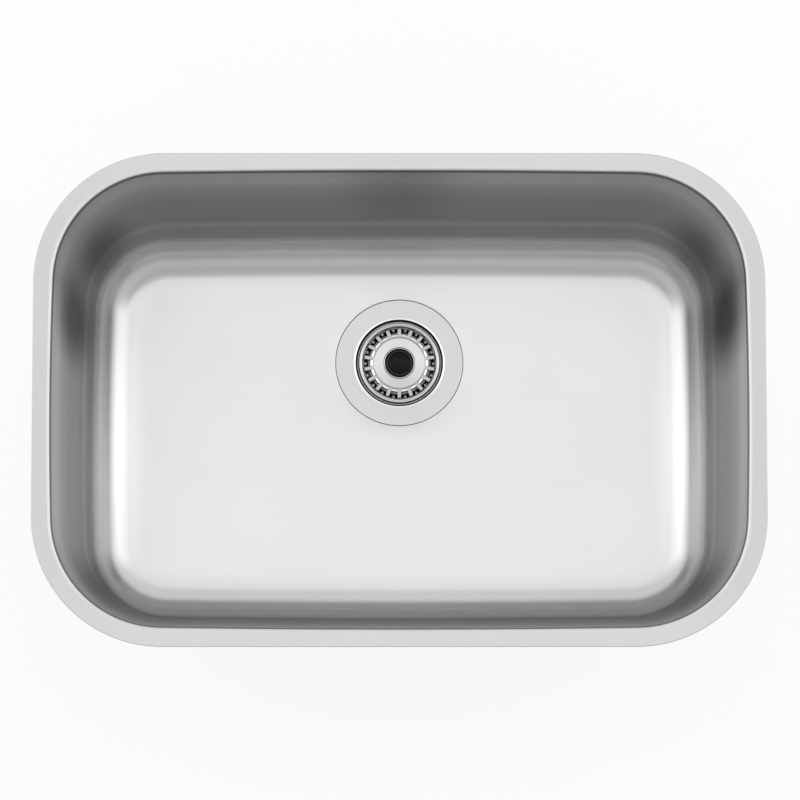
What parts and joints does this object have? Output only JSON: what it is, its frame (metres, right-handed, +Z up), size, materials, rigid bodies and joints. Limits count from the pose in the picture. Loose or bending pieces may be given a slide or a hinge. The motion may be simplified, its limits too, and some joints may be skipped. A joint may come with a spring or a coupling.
{
  "type": "undermount kitchen sink",
  "caption": "Undermount pressed-steel kitchen sink, one deep rectangular bowl with rounded corners and a flat rim, basket strainer with lift-up stopper, and tailpiece.",
  "frame": {"origin": "centre of the rim's top face, which lies against the underside of the worktop", "axes": "+X to the user's right along the rim's length, +Y to the back where the drain is, +Z up out of the bowl"},
  "size_m": [0.635, 0.432, 0.3651],
  "materials": {
    "bowl_steel": "satin brushed",
    "strainer_steel": "satin",
    "crown_steel": "satin",
    "pad_rubber": "matt",
    "gasket_foam": "matt foam",
    "gasket_rubber": "matt",
    "fibre": "fibre board",
    "cast_zinc": "die cast",
    "white_poly": "waxy",
    "chromed_tube": "polished",
    "chromed_nut": "polished",
    "cage_plastic": "moulded",
    "bush_brass": "turned",
    "knob_plastic": "satin moulded",
    "stem_steel": "turned"
  },
  "bodies": {
    "sink": {"sink_bowl": "bowl_steel", "sound_pad_left": "pad_rubber", "sound_pad_right": "pad_rubber", "sound_pad_front": "pad_rubber", "strainer_body": "strainer_steel", "flange_gasket": "gasket_foam", "rubber_gasket": "gasket_rubber", "friction_washer": "fibre", "locknut": "cast_zinc", "tail_gasket": "white_poly", "tailpiece": "chromed_tube", "coupling_nut": "chromed_nut"},
    "basket": {"basket_crown": "crown_steel", "basket_cage": "cage_plastic", "rim_ring": "gasket_rubber", "guide_bush": "bush_brass", "stem_oring": "gasket_rubber"},
    "stopper": {"knob": "knob_plastic", "stem": "stem_steel", "stem_circlip": "stem_steel", "stopper_plate": "stem_steel", "stopper_seal": "gasket_rubber", "stopper_washer": "stem_steel", "stem_nut": "stem_steel"}
  },
  "joints": [
    {"name": "basket_lift", "type": "slide", "parent": "sink", "child": "basket", "axis": [0, 0, 1], "range_m": [0, 0.26]},
    {"name": "stopper_travel", "type": "slide", "parent": "basket", "child": "stopper", "axis": [0, 0, 1], "range_m": [0, 0.008]}
  ]
}
